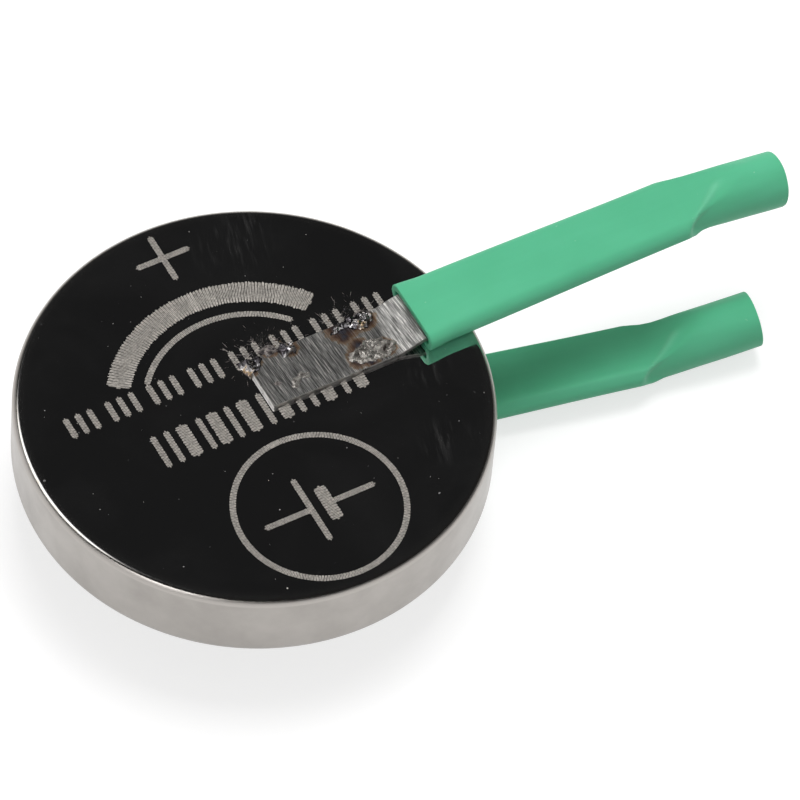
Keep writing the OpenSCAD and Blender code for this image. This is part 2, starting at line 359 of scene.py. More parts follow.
def cap_steel():
    """Satin steel of the negative cap, with faint rings from drawing."""
    steel = Surface("satin steel cap", (0.52, 0.51, 0.49), 0.3, 1)
    where = steel.where
    outwards = axis_distance(where) * (3.0 / MM)
    rings = Node(where.tree, "ShaderNodeTexNoise", {"W": outwards, "Scale": 1, "Detail": 6, "Roughness": 0.7},
                 noise_dimensions="1D")["Fac"]
    drawn = grain(where, 0.35, 5, 0.7, (0.25, 6, 1))
    tone = grain(where, 0.3, 6, 0.62) * 0.4 + (rings * 0.3 + drawn * 0.3)
    worn = ramp(tone, (0.4, 0), (0.62, 1))
    steel["Base Color"] = blend(worn, (0.53, 0.52, 0.5), (0.43, 0.42, 0.4))
    steel["Roughness"] = tone * 0.3 + 0.14
    steel.bump(rings * 0.5 + drawn * 0.5, 0.005, 0.45)
    return steel.material


def laser_mark(name, colour):
    """Roughened, warm grey steel that the laser has gone over."""
    steel = Surface(name, colour, 0.55, 0.25)
    burn = grain(steel.where, 9, 3, 0.7)
    dark = tuple(0.6 * level for level in colour)
    light = tuple(min(1, 1.45 * level) for level in colour)
    steel["Base Color"] = blend(ramp(burn, (0.3, 0), (0.7, 1)), dark, light)
    steel.bump(burn, 0.02, 0.6)
    return steel.material


def strip_metal(name, tag, welds):
    """Nickel strip brushed across its width, with heat colours round its welds; its streaks are partly
    brushing and partly painted sheen.
    """
    nickel = Surface(name, (0.62, 0.6, 0.57), 0.3, 0.84)
    own = in_frame(nickel.where, tag.place)
    brushed = mapped(own, Rotation=(0, 0, BRUSH_ANGLE))
    fine = grain(brushed, 0.16, 3, 0.7, (95, 4.5, 1))
    coarse = grain(brushed, 0.16, 3, 0.6, (26, 2.2, 1))
    streak = fine * 0.75 + coarse * 0.25
    # The brushed streaks' colour runs from dark to near white: partly the brushing's grain, partly painted
    # sheen in place of the brushed reflection
    metal = ramp(streak, (0.42, (0.15, 0.147, 0.142)), (0.49, (0.35, 0.343, 0.33)),
                 (0.55, (0.56, 0.55, 0.53)), (0.6, (0.92, 0.9, 0.86)))
    near = [1 - distance_to(own, tag.start + along, across, STRIP_T) / (reach * MM)
            for along, across, reach in welds]
    wobble = grain(own, 1.6, 6, 0.75, distort=0.6) * 1.3 - 0.65
    heat = reduce(lambda first, second: calc("SMOOTH_MAX", first, second, 0.15), near) + wobble
    share = ramp(heat, (0, 0), (0.13, 0.6), (0.3, 0.75), (0.6, 0.88), smooth=True)
    colours = ramp(heat, (0, (0.5, 0.38, 0.22)), (0.2, (0.36, 0.19, 0.085)), (0.46, (0.13, 0.06, 0.035)),
                   (0.75, (0.055, 0.045, 0.06)), (0.9, (0.07, 0.07, 0.1)))
    nickel["Base Color"] = blend(share, metal, colours)
    nickel["Roughness"] = share * 0.08 + (streak * 0.16 + 0.33)
    nickel.bump(streak, 0.01, 0.6)
    return nickel.material


def grained(name, look, tone, stops, relief, sheen=None):
    """A surface coloured by one noise, given as grain() takes it.

    Relief is (depth, strength) and sheen (gain, least), followed by a noise of its own if it has one.
    """
    surface = Surface(name, *look)
    toned = grain(surface.where, *tone)
    surface["Base Color"] = ramp(toned, *stops)
    depth, strength, *own = relief
    surface.bump(grain(surface.where, *own) if own else toned, depth, strength)
    if sheen:
        gain, least, *own = sheen
        surface["Roughness"] = (grain(surface.where, *own) if own else toned) * gain + least
    return surface.material


def cut_edge():
    """The sheared edge of a strip: plain bright metal with a broken grey band."""
    stops = [(0.38, (0.26, 0.245, 0.225)), (0.6, (0.5, 0.48, 0.455))]
    return grained("sheared strip edge", ((0.38, 0.365, 0.34), 0.3, 0.75), (2.2, 4, 0.6), stops,
                   relief=(0.01, 0.4), sheen=(0.2, 0.2))


def crumpled_skin():
    """Thin metal skin lifted and crumpled by the weld: grey-brown and satin, with near-black and pale bands
    in its colour.
    """
    # The near-black bands are painted crease shade and the pale band painted highlights, laid by noise over
    # the grey-brown tone
    stops = [(0.38, (0.05, 0.04, 0.035)), (0.44, (0.3, 0.275, 0.25)), (0.53, (0.68, 0.65, 0.6)),
             (0.61, (0.42, 0.385, 0.35)), (0.68, (0.09, 0.08, 0.085))]
    return grained("crumpled weld skin", ((0.36, 0.33, 0.3), 0.4, 0.78), (1.9, 6, 0.68), stops,
                   relief=(0.12, 0.9, 2.1, 5, 0.62), sheen=(0.6, -0.03, 1.8, 3))


def molten_metal():
    """Metal that melted and froze in the weld: a dark, smooth lump with some gold, and a pale band in its
    colour that is painted glints.
    """
    # The pale grey band in the colour is painted glints; the gold band is the metal's own tint
    stops = [(0.38, (0.06, 0.05, 0.055)), (0.45, (0.2, 0.19, 0.205)), (0.52, (0.6, 0.58, 0.58)),
             (0.58, (0.55, 0.4, 0.24)), (0.66, (0.12, 0.1, 0.13))]
    return grained("frozen molten metal", ((0.3, 0.27, 0.25), 0.2, 1), (0.9, 4, 0.6), stops,
                   relief=(0.03, 0.5, 1.5, 2, 0.5), sheen=(0.3, 0.06, 1.6, 2))


def burnt_residue():
    """Dull grey-brown crust with a few glints that the heat leaves at the edge of a weld."""
    stops = [(0.4, (0.015, 0.014, 0.018)), (0.47, (0.13, 0.112, 0.108)), (0.54, (0.5, 0.45, 0.42)),
             (0.6, (0.22, 0.2, 0.2)), (0.66, (0.03, 0.03, 0.045))]
    return grained("burnt weld residue", ((0.2, 0.17, 0.155), 0.5, 0.66), (2, 6, 0.72), stops,
                   relief=(0.11, 0.9, 3.2, 5, 0.65), sheen=(0.6, 0.06, 3, 3))


def sleeve_plastic(name, tag):
    """Satin green tubing: a fine matte grain, soft streaks along it, a few specks of lint and a painted
    highlight along its fold.
    """
    plastic = Surface(name, (0.105, 0.52, 0.29), 0.5)
    plastic["IOR"] = 1.45
    plastic["Subsurface Weight"] = 0.12
    plastic["Subsurface Radius"] = (0.2, 1.0, 0.5)
    plastic["Subsurface Scale"] = 0.3 * MM
    own = in_frame(plastic.where, tag.place)
    streak = grain(own, 0.5, 4, 0.6, (0.12, 1, 1))
    tone = streak * 0.5 + grain(own, 0.3, 3, 0.5) * 0.5
    green = ramp(tone, (0.35, (0.095, 0.49, 0.268)), (0.65, (0.115, 0.545, 0.31)))
    # Painted highlight: paler green where the mesh's attribute marks the fold and the underside ridge
    paled = Node(plastic.tree, "ShaderNodeAttribute", attribute_name="paled")["Fac"]
    green = blend(paled * 0.4, green, (0.24, 0.68, 0.45))
    lint = ramp(grain(own, 3.4, 1, 0.4), (0.8, 0), (0.83, 0.3))
    plastic["Base Color"] = blend(lint, green, (0.5, 0.72, 0.6))
    plastic["Roughness"] = tone * 0.22 + 0.4
    plastic.bump(streak * 0.8 + grain(own, 14, 3, 0.6) * 0.2, 0.03, 0.35)
    return plastic.material


def gasket_plastic():
    """Black moulded plastic with a fine grain and a little sealant smeared on it."""
    plastic = Surface("black gasket plastic", (0.03, 0.03, 0.033), 0.45)
    smear = ramp(grain(plastic.where, 0.7, 5, 0.6), (0.45, 0), (0.7, 1))
    plastic["Base Color"] = blend(smear, (0.022, 0.022, 0.025), (0.06, 0.055, 0.05))
    plastic["Roughness"] = smear * 0.3 + 0.35
    plastic.bump(grain(plastic.where, 8, 3), 0.01, 0.5)
    return plastic.material


def pressed_powder():
    """Pressed black cathode powder."""
    return grained("pressed black powder", ((0.02, 0.02, 0.021), 0.85), (6, 8, 0.75),
                   [(0.35, 0.01), (0.7, 0.06)], relief=(0.05, 0.8))


def felt():
    """White non-woven felt."""
    return grained("white felt", ((0.8, 0.8, 0.78), 0.9), (3, 8, 0.8, (1, 4, 1), 2.5),
                   [(0.3, 0.6), (0.7, 0.88)], relief=(0.06, 0.8))


def soft_metal():
    """Soft silvery lithium with rolling marks and a dull bloom."""
    return grained("rolled lithium", ((0.62, 0.62, 0.63), 0.4, 1), (0.3, 6, 0.7, (1, 14, 1)),
                   [(0.35, (0.42, 0.42, 0.44)), (0.7, 0.7)], relief=(0.02, 0.5), sheen=(0.3, 0.3))


# Meshes

def new_object(name, data):
    """An object with that data, in the scene."""
    item = bpy.data.objects.new(name, data)
    bpy.context.scene.collection.objects.link(item)
    return item


def mesh_of(name, points, faces=(), edges=()):
    """A mesh from points in millimetres."""
    mesh = bpy.data.meshes.new(name)
    mesh.from_pydata([Vector(p) * MM for p in points], list(edges), list(faces))
    mesh.update()
    return mesh


def shade(mesh, sharp_angle):
    """Smooth shading, with edges sharper than the angle left sharp."""
    mesh.polygons.foreach_set("use_smooth", [True] * len(mesh.polygons))
    mesh.set_sharp_from_angle(angle=math.radians(sharp_angle))


def piece_of(mesh, material, sharp_angle):
    """A piece of the object with that mesh and finish, smooth but for its sharp edges."""
    mesh.materials.append(material)
    shade(mesh, sharp_angle)
    return new_object(mesh.name, mesh)


def face_outwards(mesh):
    """Drops points that no face uses, and turns the faces of a closed mesh outwards."""
    work = bmesh.new()
    work.from_mesh(mesh)
    loose = [v for v in work.verts if not v.link_faces]
    bmesh.ops.delete(work, geom=loose, context="VERTS")
    bmesh.ops.recalc_face_normals(work, faces=work.faces)
    work.to_mesh(mesh)
    work.free()


def face_upwards(mesh):
    """Turns flat faces so that they look up."""
    work = bmesh.new()
    work.from_mesh(mesh)
    work.normal_update()
    for face in work.faces:
        if face.normal.z < 0:
            face.normal_flip()
    work.to_mesh(mesh)
    work.free()


def placed(piece, slot, *nodes):
    """Rides a piece on the part and lets it stand for CAD nodes; the slot it is given is not used."""
    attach(piece, "root")
    if nodes:
        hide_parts(*nodes)
    return piece


def ease(x):
    """Smooth step from 0 to 1."""
    x = min(max(x, 0.0), 1.0)
    return x * x * (3 - 2 * x)


# Geometry Nodes

def new_group(name, **inputs):
    """The input node of a new geometry node group, whose inputs are given as name and kind."""
    tree = bpy.data.node_groups.new(name, "GeometryNodeTree")
    for label, kind in {"Geometry": "Geometry", **inputs}.items():
        tree.interface.new_socket(label, in_out="INPUT", socket_type="NodeSocket" + kind)
    tree.interface.new_socket("Geometry", in_out="OUTPUT", socket_type="NodeSocketGeometry")
    return Node(tree, "NodeGroupInput")


def close_group(given, geometry):
    """Ends a group: instances made real, then the material set."""
    tree = given.tree
    real = Node(tree, "GeometryNodeRealizeInstances", {"Geometry": geometry})[0]
    painted = Node(tree, "GeometryNodeSetMaterial", {"Geometry": real, "Material": given["Finish"]})[0]
    Node(tree, "NodeGroupOutput", {0: painted})
    return tree


def grown(name, base, tree, values):
    """The plain mesh piece that a geometry node group makes of a base mesh with these inputs."""
    source = new_object(name + "_source", base)
    modifier = source.modifiers.new("grow", "NODES")
    modifier.node_group = tree
    for item in tree.interface.items_tree:
        if item.in_out == "INPUT" and item.name in values:
            modifier[item.identifier] = values[item.name]
    source.update_tag()
    graph = bpy.context.evaluated_depsgraph_get()
    mesh = bpy.data.meshes.new_from_object(source.evaluated_get(graph))
    bpy.data.objects.remove(source)
    mesh.name = name
    mesh.materials.clear()
    mesh.materials.append(values["Finish"])
    mesh.polygons.foreach_set("material_index", [0] * len(mesh.polygons))
    return new_object(name, mesh)


def whole(operation, first, second):
    """The result of one Integer Math node."""
    return Node(first.tree, "FunctionNodeIntegerMath", {0: first, 1: second}, operation=operation)[0]


def random_number(seed, least=0, highest=1):
    """A random number for each element."""
    inputs = {2: least, 3: highest, "Seed": seed}
    return Node(seed.tree, "FunctionNodeRandomValue", inputs, data_type="FLOAT")[1]


def copied(points, item, rotation, scale):
    """Instances of an item on points."""
    inputs = {"Points": points, "Instance": item, "Rotation": rotation, "Scale": scale}
    return Node(points.tree, "GeometryNodeInstanceOnPoints", inputs)[0]


def turned_group():
    """Turns a profile, given as points at (radius, 0, height), round the axis of the cell."""
    given = new_group("turned piece", Steps="Int", Finish="Material")
    tree = given.tree
    profile = given["Geometry"]
    size = Node(tree, "GeometryNodeAttributeDomainSize", {"Geometry": profile}, component="MESH")
    count = size["Point Count"]
    rows = whole("ADD", given["Steps"], 1)
    grid = Node(tree, "GeometryNodeMeshGrid", {"Vertices X": count, "Vertices Y": rows})[0]
    index = Node(tree, "GeometryNodeInputIndex")[0]
    along = whole("DIVIDE_FLOOR", index, rows)
    step = whole("MODULO", index, rows)
    place = Node(tree, "GeometryNodeInputPosition")[0]
    point = Node(tree, "GeometryNodeSampleIndex", {"Geometry": profile, "Value": place, "Index": along},
                 data_type="FLOAT_VECTOR", domain="POINT")[0]
    angle = step / given["Steps"] * math.tau
    spun = Node(tree, "ShaderNodeVectorRotate", {"Vector": point, "Angle": angle}, rotation_type="Z_AXIS")[0]
    moved = Node(tree, "GeometryNodeSetPosition", {"Geometry": grid, "Position": spun})[0]
    closed = Node(tree, "GeometryNodeMergeByDistance", {"Geometry": moved, "Distance": 1e-7})[0]
    return close_group(given, closed)


def hatch_group():
    """Lays short bars across a path, leaning to and fro, as the laser leaves them."""
    given = new_group("laser hatch", Pitch="Float", Stroke="Float", Line="Float", Lean="Float",
                      Ragged="Float", Seed="Int", Finish="Material")
    tree = given.tree
    path = Node(tree, "GeometryNodeMeshToCurve", {"Mesh": given["Geometry"]})[0]
    inputs = {"Curve": path, "Length": given["Pitch"]}
    even = Node(tree, "GeometryNodeResampleCurve", inputs, mode="LENGTH")[0]
    index = Node(tree, "GeometryNodeInputIndex")[0]
    side = calc("MODULO", index, 2) * 2 - 1
    lean = Node(tree, "FunctionNodeAxisAngleToRotation", {"Angle": side * given["Lean"]})[0]
    tangent = Node(tree, "GeometryNodeInputTangent")[0]
    along = Node(tree, "FunctionNodeAlignRotationToVector", {"Vector": tangent}, axis="X")[0]
    leaning = Node(tree, "FunctionNodeRotateRotation", {"Rotation": along, "Rotate By": lean},
                   rotation_space="LOCAL")[0]
    run = Node(tree, "GeometryNodeSplineParameter")["Length"]
    total = Node(tree, "GeometryNodeSplineLength")["Length"]
    half = calc("MINIMUM", given["Stroke"] * 0.5, MARK_ROUND_END * MM)
    short = most(1 - calc("MINIMUM", run, total - run) / half, 0)
    round_end = calc("SQRT", 1.03 - short * short)
    reach = random_number(given["Seed"], 1 - given["Ragged"]) * round_end
    size = Node(tree, "ShaderNodeCombineXYZ", {"X": 1, "Y": reach, "Z": 1})[0]
    inputs = {"Size X": given["Line"], "Size Y": given["Stroke"], "Vertices X": 2, "Vertices Y": 2}
    bar = Node(tree, "GeometryNodeMeshGrid", inputs)[0]
    return close_group(given, copied(even, bar, leaning, size))


def spatter_group():
    """Throws small flattened drops round each given point, thickest close to it."""
    given = new_group("weld spatter", Drops="Int", Reach="Float", Size="Float", Stretch="Float", Seed="Int",
                      Finish="Material")
    tree = given.tree
    copies = Node(tree, "GeometryNodeDuplicateElements",
                  {"Geometry": given["Geometry"], "Amount": given["Drops"]}, domain="POINT")[0]
    angle = random_number(given["Seed"], 0, math.tau)
    share = random_number(given["Seed"] + 1)
    far = share ** 1.6 * given["Reach"]
    inputs = {"X": calc("COSINE", angle) * far, "Y": calc("SINE", angle) * far}
    away = Node(tree, "ShaderNodeCombineXYZ", inputs)[0]
    thrown = Node(tree, "GeometryNodeSetPosition", {"Geometry": copies, "Offset": away})[0]
    drop = Node(tree, "GeometryNodeMeshIcoSphere", {"Radius": given["Size"], "Subdivisions": 2})[0]
    wide = random_number(given["Seed"] + 2) ** 3 * 0.85 + 0.15
    long = wide * (share * given["Stretch"] + 1)
    size = Node(tree, "ShaderNodeCombineXYZ", {"X": long, "Y": wide, "Z": wide * 0.6})[0]
    facing = Node(tree, "FunctionNodeAxisAngleToRotation", {"Angle": angle})[0]
    return close_group(given, copied(thrown, drop, facing, size))


# The way of a strip and its sleeve, in the frame of the tag: x along the strip, z away from the face

def strip_height(tag, x):
    """Height of the strip's middle, which steps up to enter the sleeve."""
    top = tag.mouth + BEND_PAST
    return STRIP_T / 2 + (LIFT - STRIP_T / 2) * ease((x - top + BEND_L) / BEND_L)


def twist(tag, x):
    """Turn of the sleeve and strip about their own length."""
    end = tag.start + STRIP_L
    return -math.radians(SLEEVE_TWIST) * ease((x - tag.mouth) / (end - tag.mouth))


def station(tag, x, height=LIFT):
    """The middle at x, at that height, and the directions across and above it, square to the sleeve."""
    past = max(x - tag.start - STRIP_L, 0)
    drift = past * past / (2 * OPENING_L) if past < OPENING_L else past - OPENING_L / 2
    share = min(past / OPENING_L, 1)
    side = -math.tan(math.radians(END_YAW))
    down = -math.tan(math.radians(END_PITCH))
    middle = Vector((x, side * drift, height + down * drift))
    ahead = Vector((1, side * share, down * share)).normalized()
    level = Vector((-ahead.y, ahead.x, 0)).normalized()
    upright = ahead.cross(level)
    turn = twist(tag, x)
    across = level * math.cos(turn) + upright * math.sin(turn)
    above = upright * math.cos(turn) - level * math.sin(turn)
    return middle, across, above


def girth_width(thick):
    """Width of the tube pressed to that thickness, with its girth unchanged."""
    return (math.pi * SLEEVE_D - math.pi * thick) / 2 + thick


def stadium(share, wide, thick):
    """The point at a share of the way round a flat section with round sides."""
    flat = wide - thick
    arc = math.pi * thick / 2
    r = thick / 2
    way = share * 2 * (flat + arc)
    over = min(max(way - arc / 2, 0), flat)
    under = min(max(way - 1.5 * arc - flat, 0), flat)
    angle = (way - over - under) / r
    return flat / 2 - over + under + r * math.cos(angle), r * math.sin(angle)


def sleeve_point(tag, x, share, inset):
    """A point of the sleeve's wall, and its painted highlight: paler green along the fold and the underside
    ridge, on one side.

    The point is at x, a share of the way round, and that far inside the outer skin.
    """
    end = tag.start + STRIP_L
    flare = 1 - ease((x - tag.mouth) / FLARE_L)
    thick = FLAT_T + FLARE_T * flare - 2 * inset
    wide = girth_width(FLAT_T) + FLARE_W * flare - 2 * inset
    across, above = stadium(share, wide, thick)
    edge = abs(across) / (wide / 2)
    ridge = 0.0
    if above > 0:
        above += SLEEVE_CROWN * (1 - edge ** 2.5) * (1 - 0.6 * flare)
    elif edge < 1:
        ridge = math.exp(-((edge - RIDGE_EDGE) / RIDGE_SPREAD) ** 2)
        above -= SLEEVE_RIDGE * ridge
    around = math.tau * share
    ring = SLEEVE_D / 2 - inset
    opening = TOP_OPENING_L + (SIDE_OPENING_L - TOP_OPENING_L) * edge ** 2
    began = end - OPENING_LEAD + TOP_DELAY * (1 - edge ** 2)
    part = ease((x - began) / opening)
    folded_side = across * tag.place[1][1] < 0
    crease = FOLD_PART + FOLD_LEAN * (1 - edge)
    fold = math.exp(-((part - crease) / FOLD_SPREAD) ** 2) * folded_side
    # Painted highlight: the fold and the underside ridge are marked paler on one side of the tube only, in
    # place of light on their slopes
    paled = max(fold * ease(4 * edge), 0.4 * ridge * (1 - part) * folded_side)
    across += (ring * math.cos(around) - across) * part
    above += (ring * math.sin(around) - above) * part
    above += math.copysign(FOLD_H * fold * 4 * edge * max(1 - edge, 0), above)
    middle, level, upright = station(tag, x)
    spot = Vector((0.45 * x, 2.0 * math.cos(around), 2.0 * math.sin(around) + tag.mouth))
    push = 1 + END_SWAY * noise.noise(spot) * part
    return tag.place @ (middle + level * across * push + upright * above * push), paled


def wall_loop(first, last, stops):
    """Once round the wall of a tube, as (x, inset): out along its outer skin, back along the inner one."""
    def lip(x, inset, turn):
        angles = [math.radians(turn + step) for step in (0, 30, 60, 90)]
        return [(x + LIP_R * math.sin(a), inset - LIP_R * math.cos(a)) for a in angles]

    inner = SLEEVE_WALL - LIP_R
    return ([(x, 0.0) for x in stops] + lip(last - LIP_R, LIP_R, 0) + lip(last - LIP_R, inner, 90)
            + [(x, SLEEVE_WALL) for x in reversed(stops)]
            + lip(first + LIP_R, inner, 180) + lip(first + LIP_R, LIP_R, 270))


SLEEVE_SIDES = 72
CLOSE_STEP = 0.11
WIDE_STEP = 0.3


def make_sleeve(name, tag, material):
    """The tube: pressed flat over its strip, and round past the tip of it."""
    last = tag.mouth + SLEEVE_L
    end = tag.start + STRIP_L
    stops = []
    x = tag.mouth + 2 * LIP_R
    while x < last - 2 * LIP_R:
        stops.append(x)
        close = end - 1 < x < end + 3 or x < tag.mouth + FLARE_L
        x += CLOSE_STEP if close else WIDE_STEP
    loop = wall_loop(tag.mouth, last, stops)
    n = SLEEVE_SIDES
    wall = [sleeve_point(tag, x, k / n, inset) for x, inset in loop for k in range(n)]
    faces = []
    for i in range(len(loop)):
        for k in range(n):
            a, b = i * n + k, i * n + (k + 1) % n
            faces.append((a, b, (b + n) % len(wall), (a + n) % len(wall)))
    mesh = mesh_of(name, [point for point, paled in wall], faces)
    face_outwards(mesh)
    # Each point's painted highlight goes to the material as an attribute
    values = mesh.attributes.new("paled", "FLOAT", "POINT").data
    values.foreach_set("value", [paled for point, paled in wall])
    return piece_of(mesh, material, 60)


BEND_STEPS = 16
STRAIGHT_STEPS = 24
BROAD_SIDES = (0, 4)


def make_strip(name, tag, material, edge):
    """The flat strip, with its edges just broken and in their own finish."""
    end = tag.start + STRIP_L
    top = tag.mouth + BEND_PAST
    stops = [tag.start, tag.start + STRIP_BEVEL]
    stops += [top - BEND_L + k * BEND_L / BEND_STEPS for k in range(BEND_STEPS + 1)]
    stops += [top + k * (end - top) / STRAIGHT_STEPS for k in range(1, STRAIGHT_STEPS + 1)]
    b = STRIP_BEVEL
    w, t = STRIP_W / 2, STRIP_T / 2
    outline = [(w - b, t), (-w + b, t), (-w, t - b), (-w, -t + b), (-w + b, -t), (w - b, -t), (w, -t + b),
               (w, t - b)]
    points = []
    for i, x in enumerate(stops):
        middle, across, above = station(tag, x, strip_height(tag, x))
        shrink = b if i == 0 else 0
        for p, q in outline:
            p -= math.copysign(shrink, p)
            q -= math.copysign(shrink, q)
            points.append(tag.place @ (middle + across * p + above * q))
    n = len(outline)
    faces = [(i * n + k, i * n + (k + 1) % n, (i + 1) * n + (k + 1) % n, (i + 1) * n + k)
             for i in range(len(stops) - 1) for k in range(n)]
    faces += [tuple(range(n)), tuple(range((len(stops) - 1) * n, len(stops) * n))]
    mesh = mesh_of(name, points, faces)
    face_outwards(mesh)
    piece = piece_of(mesh, material, 30)
    mesh.materials.append(edge)
    for index, polygon in enumerate(mesh.polygons):
        broad = index % n in BROAD_SIDES and n <= index < len(faces) - 2
        polygon.material_index = 0 if broad else 1
    return piece


# Turned pieces

TURN_STEPS = 240
ON_FACE = 0.012
OUTSIDE = 0.01


def sheet_profile(start_z, moves, thick):
    """Both sides of a bent sheet from the axis out and back; a move is (length,) or (radius, degrees)."""
    x, z, heading = 0.0, start_z, 0.0
    line = [(x, z, heading)]
    for move in moves:
        if len(move) == 1:
            x += move[0] * math.cos(heading)
            z += move[0] * math.sin(heading)
            line.append((x, z, heading))
            continue
        radius, bend = move[0], math.radians(move[1])
        steps = max(3, math.ceil(abs(move[1]) / 7.5))
        side = math.copysign(1, bend)
        cx, cz = x - side * radius * math.sin(heading), z + side * radius * math.cos(heading)
        for k in range(1, steps + 1):
            h = heading + bend * k / steps
            line.append((cx + side * radius * math.sin(h), cz - side * radius * math.cos(h), h))
        x, z, heading = line[-1]
    half = thick / 2
    left = [(x - half * math.sin(h), 0, z + half * math.cos(h)) for x, z, h in line]
    right = [(x + half * math.sin(h), 0, z - half * math.cos(h)) for x, z, h in line]
    return left + right[::-1]


def turned_piece(name, profile, group, material):
    """A closed sheet piece turned round the axis."""
    base = mesh_of(name + "_profile", profile, edges=[(i, i + 1) for i in range(len(profile) - 1)])
    piece = grown(name, base, group, {"Steps": TURN_STEPS, "Finish": material})
    face_outwards(piece.data)
    shade(piece.data, 35)
    return piece


def make_can(group, wall, face, corner):
    """The can: satin wall, polished face and burnished corner between them."""
    moves = [(CELL_R - CORNER_R,), (CORNER_R - CAN_T / 2, -90), (FACE_Z - CORNER_R - CRIMP_Z,),
             (CRIMP_R - CAN_T / 2, -CRIMP_ANGLE)]
    piece = turned_piece("can_shell", sheet_profile(FACE_Z - CAN_T / 2, moves, CAN_T), group, wall)
    mesh = piece.data
    mesh.materials.append(face)
    mesh.materials.append(corner)
    for polygon in mesh.polygons:
        middle = polygon.center / MM
        outside = math.hypot(middle.x, middle.y) > CELL_R - CAN_T + OUTSIDE
        if middle.z > FACE_Z - ON_FACE:
            polygon.material_index = 1
        elif middle.z > FACE_Z - CORNER_R and outside:
            polygon.material_index = 2
    return placed(piece, "can_steel", "can")


def make_cap(group, material):
    """The stepped cap with its folded rim."""
    steep = math.radians(STEP_ANGLE)
    ledge_z = STEP_H + CAP_T / 2
    run = (STEP_H - 2 * STEP_R * (1 - math.cos(steep))) / math.sin(steep)
    ledge = SKIRT_R - LEDGE_R - CAP_FACE_R - 2 * STEP_R * math.sin(steep) - run * math.cos(steep)
    moves = [(CAP_FACE_R,), (STEP_R, STEP_ANGLE), (run,), (STEP_R, -STEP_ANGLE), (ledge,), (LEDGE_R, 90),
             (CAP_RIM_Z - ledge_z - LEDGE_R,), (CAP_FOLD_R, -180), (CAP_RIM_Z - CRIMP_Z - CAP_FOLD_GAP,)]
    piece = turned_piece("cap_shell", sheet_profile(CAP_T / 2, moves, CAP_T), group, material)
    return placed(piece, "cap_steel", "cap")


# Laser marks on the positive face

MARK_STROKE = 0.3
MARK_PITCH = 0.075
MARK_ROUND_END = 0.15
MARK_Z = FACE_Z + 0.004
PLUS_Y = 9.46
RING_X = -0.08
RING_Y = -6.62
RING_R = 4.1
PLATE_X = 0.45
DASHES_X = [-8.5 + 2.2 * group_of_three + 0.62 * k for group_of_three in range(8) for k in range(3)]
BARS_X = {0.3: [-5.3, -4.6, -2.9, -1.4, 0.3, 1.9, 2.6, 4.3], 0.6: [-3.8, -2.2, -0.6, 1.1, 3.4, 5.1]}

# A layer of a mark: its reach across the path and its lines' width as shares of the stroke and the
# pitch, its lean for a stroke of 1, how ragged it is, and how far it is raised
Layer = namedtuple("Layer", "suffix reach wide lean ragged raised")
LAYERS = [Layer("ground", 0.96, 1.5, 0.0, 0.08, 0.0), Layer("lines", 1.06, 0.5, 0.03, 0.14, 0.003)]


def line_path(*points):
    """A chain of points on the face."""
    return [Vector((x, y, MARK_Z)) for x, y in points]


def arc_path(cx, cy, radius, first, last, steps=72):
    """An arc on the face between two angles."""
    angles = [math.radians(first + (last - first) * k / steps) for k in range(steps + 1)]
    return line_path(*[(cx + radius * math.cos(a), cy + radius * math.sin(a)) for a in angles])


def path_mesh(name, paths):
    """One mesh of separate open chains."""
    points, edges = [], []
    for path in paths:
        edges += [(len(points) + i, len(points) + i + 1) for i in range(len(path) - 1)]
        points += path
    return mesh_of(name, points, edges=edges)


def hatch(name, paths, stroke, group, finishes, seed):
    """One set of marks: a dull ground and brighter lines on it."""
    for index, layer in enumerate(LAYERS):
        raised = Vector((0, 0, layer.raised))
        mesh = path_mesh(name, [[point + raised for point in path] for path in paths])
        values = {"Pitch": MARK_PITCH * MM, "Stroke": layer.reach * stroke * MM,
                  "Line": layer.wide * MARK_PITCH * MM, "Lean": layer.lean / stroke,
                  "Ragged": layer.ragged, "Seed": seed + index, "Finish": finishes[index]}
        piece = grown(f"{name}_{layer.suffix}", mesh, group, values)
        face_upwards(piece.data)
        placed(piece, "can_steel")


def make_marks(group):
    """Polarity sign, a ring with the drawing sign of a cell in it, and plain bars, dashes and arcs."""
    finishes = [laser_mark("laser mark ground", (0.24, 0.222, 0.2)),
                laser_mark("laser mark line", (0.62, 0.58, 0.53))]
    long_plate, short_plate = RING_X - PLATE_X, RING_X + PLATE_X
    fine = [line_path((-1.36, PLUS_Y), (1.44, PLUS_Y)), line_path((0.04, 8.06), (0.04, 10.86)),
            arc_path(RING_X, RING_Y, RING_R, 90, 458, 144),
            line_path((RING_X - 2.9, RING_Y), (long_plate, RING_Y)),
            line_path((short_plate, RING_Y), (RING_X + 2.9, RING_Y)),
            line_path((long_plate, RING_Y - 1.9), (long_plate, RING_Y + 1.9)),
            arc_path(0, 0, 5.2, 42, 142)]
    fine += [line_path((x, 1.95), (x, 3.15)) for x in DASHES_X]
    hatch("marks_fine", fine, MARK_STROKE, group, finishes, 11)
    plate = line_path((short_plate, RING_Y - 1.0), (short_plate, RING_Y + 1.0))
    hatch("mark_plate", [plate], 0.62, group, finishes, 21)
    for wide, places in BARS_X.items():
        paths = [line_path((x, -1.5), (x, 0.4)) for x in places]
        hatch(f"mark_bars_{int(10 * wide)}", paths, wide, group, finishes, int(100 * wide))
    hatch("mark_band", [arc_path(0, 0, 6.5, 38, 146)], 1.15, group, finishes, 41)


# Weld crusts, in the frame of their tag: outlines as (along from the strip's start, across)

